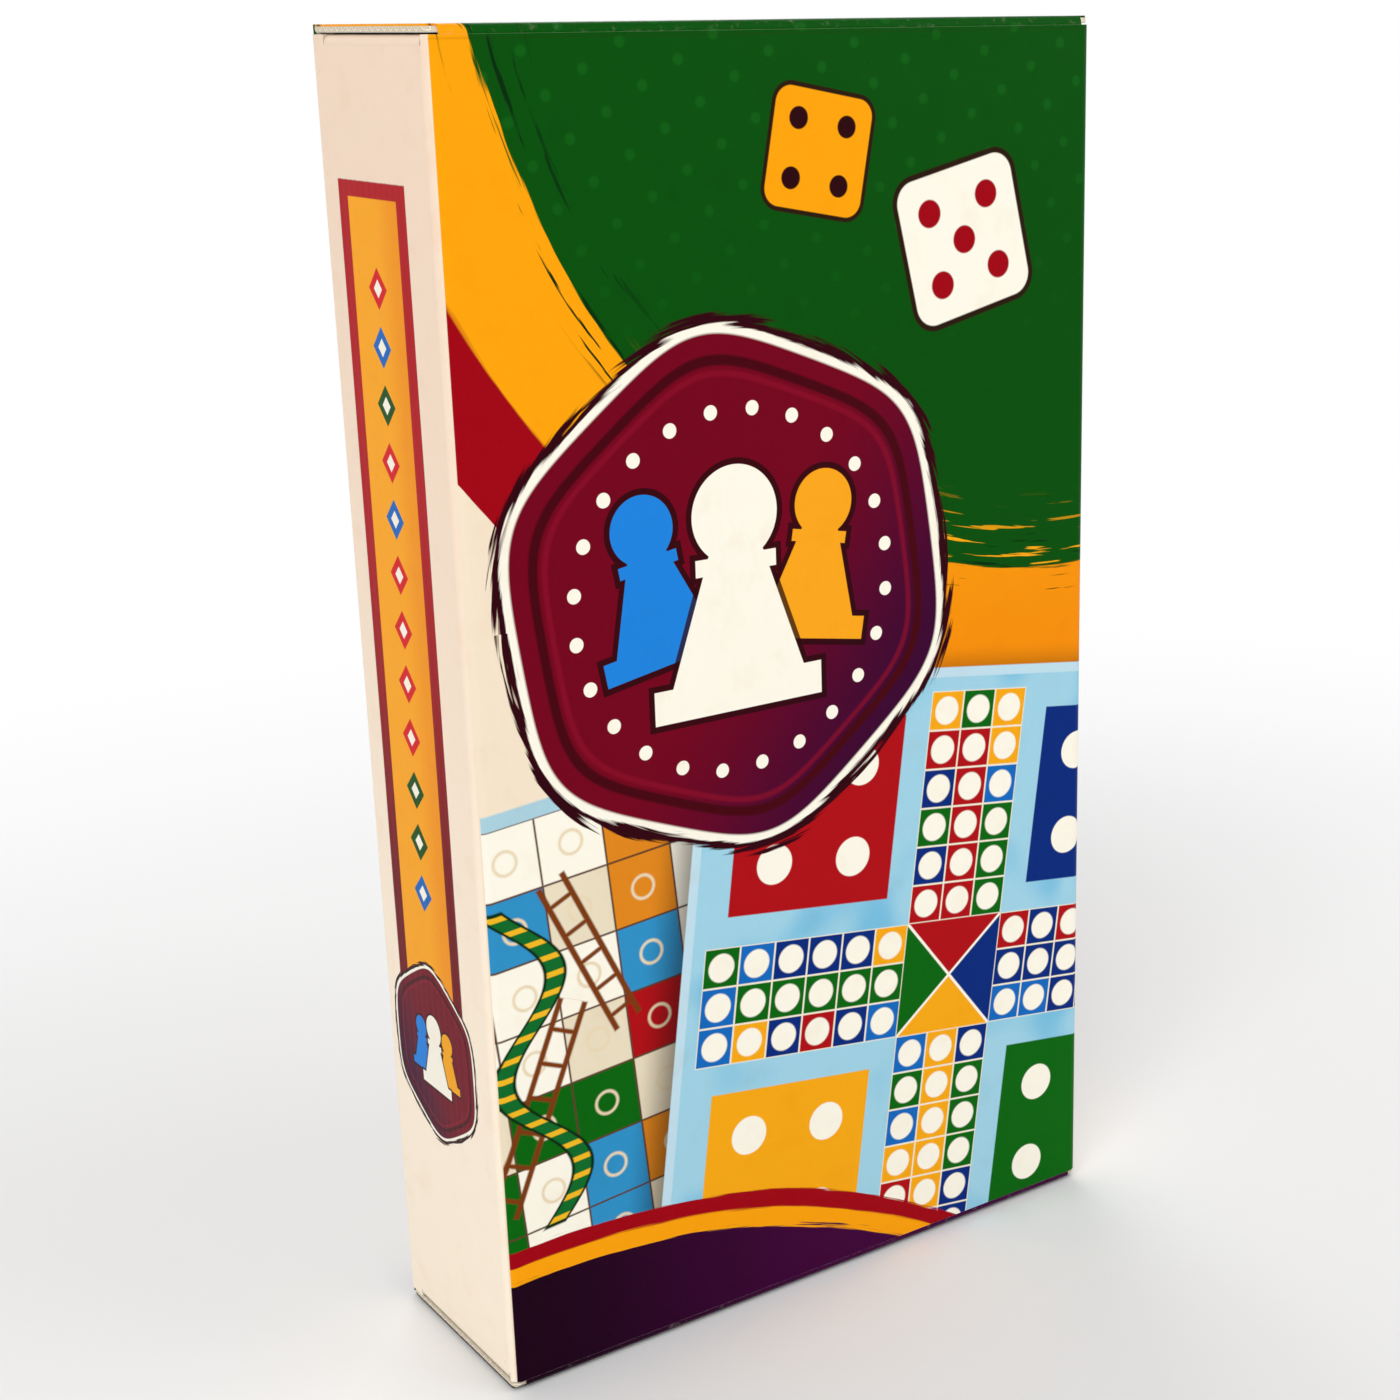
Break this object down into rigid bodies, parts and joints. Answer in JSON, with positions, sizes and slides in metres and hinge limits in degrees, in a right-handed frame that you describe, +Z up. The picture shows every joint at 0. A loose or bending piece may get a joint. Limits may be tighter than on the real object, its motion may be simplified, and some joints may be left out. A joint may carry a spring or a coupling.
{
  "type": "folding board game box",
  "caption": "Tall tuck-end carton holding a folded half-metre game board, a rules leaflet and a card tray of pawns and dice.",
  "frame": {"origin": "middle of the carton's base, on the surface it stands on", "axes": "+Z up the carton, +X across the front panel to its right, +Y from the front panel to the back panel"},
  "size_m": [0.152, 0.05, 0.27],
  "materials": {
    "carton_print": "glossy laminated print on fluted board",
    "carton_inside": "matt grey-white inner liner",
    "board_print": "glossy printed paper over grey board",
    "fold_paper": "glossy printed paper",
    "leaflet_paper": "matt printed paper",
    "tray_card": "matt brown card",
    "red_plastic": "glossy",
    "yellow_plastic": "glossy",
    "green_plastic": "glossy",
    "blue_plastic": "glossy",
    "die_plastic": "glossy"
  },
  "bodies": {
    "sleeve": {"front_panel": "carton_print", "back_panel": "carton_print", "left_side_panel": "carton_print", "right_side_panel": "carton_print", "glue_flap": "carton_inside", "board_leaf_1": "board_print", "board_leaf_2": "board_print", "board_leaf_3": "board_print", "board_leaf_4": "board_print", "board_leaf_5": "board_print", "board_leaf_6": "board_print", "board_leaf_7": "board_print", "board_leaf_8": "board_print", "board_side_folds": "fold_paper", "board_end_folds": "fold_paper", "rules_leaflet": "leaflet_paper", "piece_tray": "tray_card", "red_pawns": "red_plastic", "yellow_pawns": "yellow_plastic", "green_pawns": "green_plastic", "blue_pawns": "blue_plastic", "die_1": "die_plastic", "die_2": "die_plastic"},
    "top_lid": {"top_lid_panel": "carton_print"},
    "top_tuck": {"top_tuck_flap": "carton_print"},
    "top_left_dust": {"top_left_dust_flap": "carton_inside"},
    "top_right_dust": {"top_right_dust_flap": "carton_inside"},
    "bottom_lid": {"bottom_lid_panel": "carton_print"},
    "bottom_tuck": {"bottom_tuck_flap": "carton_print"},
    "bottom_left_dust": {"bottom_left_dust_flap": "carton_inside"},
    "bottom_right_dust": {"bottom_right_dust_flap": "carton_inside"}
  },
  "joints": [
    {"name": "top_lid_crease", "type": "hinge", "parent": "sleeve", "child": "top_lid", "pos_m": [0, -0.025, 0.27], "axis": [1, 0, 0], "range_deg": [0, 180]},
    {"name": "top_tuck_crease", "type": "hinge", "parent": "top_lid", "child": "top_tuck", "pos_m": [0, 0.02209, 0.26925], "axis": [1, 0, 0], "range_deg": [0, 36]},
    {"name": "top_left_dust_crease", "type": "hinge", "parent": "sleeve", "child": "top_left_dust", "pos_m": [-0.076, 0, 0.2682], "axis": [0, -1, 0], "range_deg": [0, 108]},
    {"name": "top_right_dust_crease", "type": "hinge", "parent": "sleeve", "child": "top_right_dust", "pos_m": [0.076, 0, 0.2682], "axis": [0, 1, 0], "range_deg": [0, 108]},
    {"name": "bottom_lid_crease", "type": "hinge", "parent": "sleeve", "child": "bottom_lid", "pos_m": [0, -0.025, 0], "axis": [-1, 0, 0], "range_deg": [0, 180]},
    {"name": "bottom_tuck_crease", "type": "hinge", "parent": "bottom_lid", "child": "bottom_tuck", "pos_m": [0, 0.02209, 0.00075], "axis": [-1, 0, 0], "range_deg": [0, 36]},
    {"name": "bottom_left_dust_crease", "type": "hinge", "parent": "sleeve", "child": "bottom_left_dust", "pos_m": [-0.076, 0, 0.0018], "axis": [0, 1, 0], "range_deg": [0, 108]},
    {"name": "bottom_right_dust_crease", "type": "hinge", "parent": "sleeve", "child": "bottom_right_dust", "pos_m": [0.076, 0, 0.0018], "axis": [0, -1, 0], "range_deg": [0, 108]}
  ],
  "couplings": [
    {"joint": "top_tuck_crease", "follows": "top_lid_crease", "ratio": 0.2},
    {"joint": "top_left_dust_crease", "follows": "top_lid_crease", "ratio": 0.6},
    {"joint": "top_right_dust_crease", "follows": "top_lid_crease", "ratio": 0.6},
    {"joint": "bottom_tuck_crease", "follows": "bottom_lid_crease", "ratio": 0.2},
    {"joint": "bottom_left_dust_crease", "follows": "bottom_lid_crease", "ratio": 0.6},
    {"joint": "bottom_right_dust_crease", "follows": "bottom_lid_crease", "ratio": 0.6}
  ]
}
